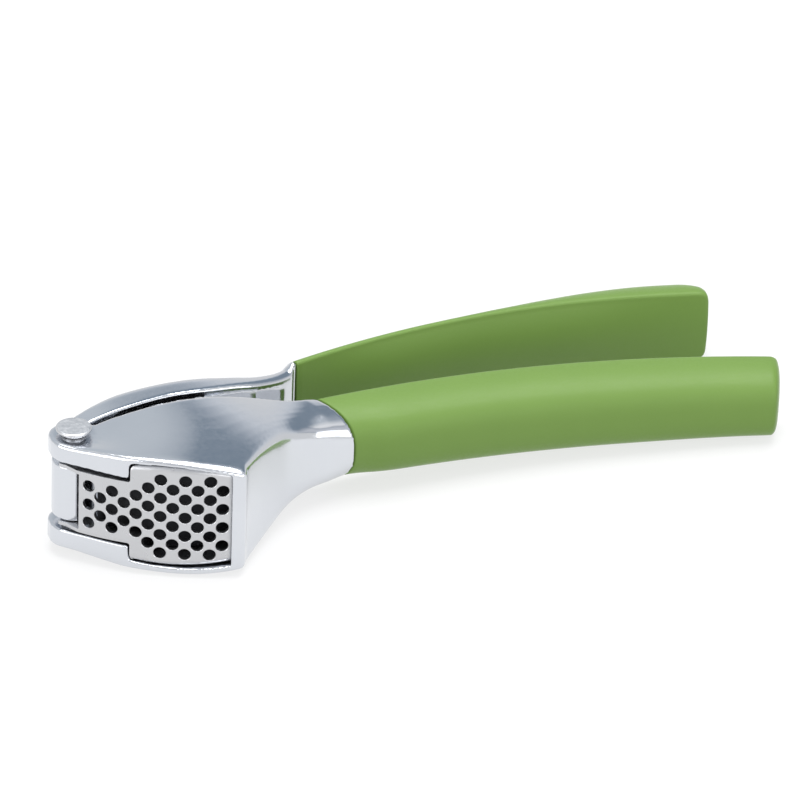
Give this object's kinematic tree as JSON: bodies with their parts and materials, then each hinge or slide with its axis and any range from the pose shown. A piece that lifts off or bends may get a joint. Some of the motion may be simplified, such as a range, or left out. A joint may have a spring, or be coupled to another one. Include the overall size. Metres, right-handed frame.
{
  "type": "garlic press",
  "caption": "Garlic press with a swing-out perforated sieve, a hinged press foot and two curved soft-grip handles on one pivot pin.",
  "frame": {"origin": "under the middle of the press's overall box, on the surface that it lies on, at the bottom of the crowned lower side of the chamber", "axes": "+X from the pivot towards the handle ends, +Z along the pivot pin and up, -Y out of the perforated front of the chamber"},
  "size_m": [0.1842, 0.0738, 0.0322],
  "materials": {
    "cast_metal": "polished chrome-plated zinc casting",
    "sieve_metal": "satin",
    "foot_metal": "satin casting",
    "soft_grip": "soft matte green"
  },
  "bodies": {
    "frame": {"frame_casting": "cast_metal", "lower_grip": "soft_grip", "pivot_pin": "cast_metal", "pin_tail_washer": "sieve_metal"},
    "sieve": {"sieve_basket": "sieve_metal"},
    "plunger": {"plunger_casting": "cast_metal", "upper_grip": "soft_grip", "foot_pin": "sieve_metal"},
    "foot": {"press_foot": "foot_metal"}
  },
  "joints": [
    {"name": "sieve_swing", "type": "hinge", "parent": "frame", "child": "sieve", "pos_m": [-0.0862, -0.01104, 0.0161], "axis": [0, 0, 1], "range_deg": [0, 90]},
    {"name": "handle_swing", "type": "hinge", "parent": "sieve", "child": "plunger", "pos_m": [-0.0862, -0.01104, 0.0161], "axis": [0, 0, 1], "range_deg": [-10, 90]},
    {"name": "foot_rock", "type": "hinge", "parent": "plunger", "child": "foot", "pos_m": [-0.0622, -0.01204, 0.0161], "axis": [0, 0, 1], "range_deg": [-1.5, 1.5]}
  ]
}
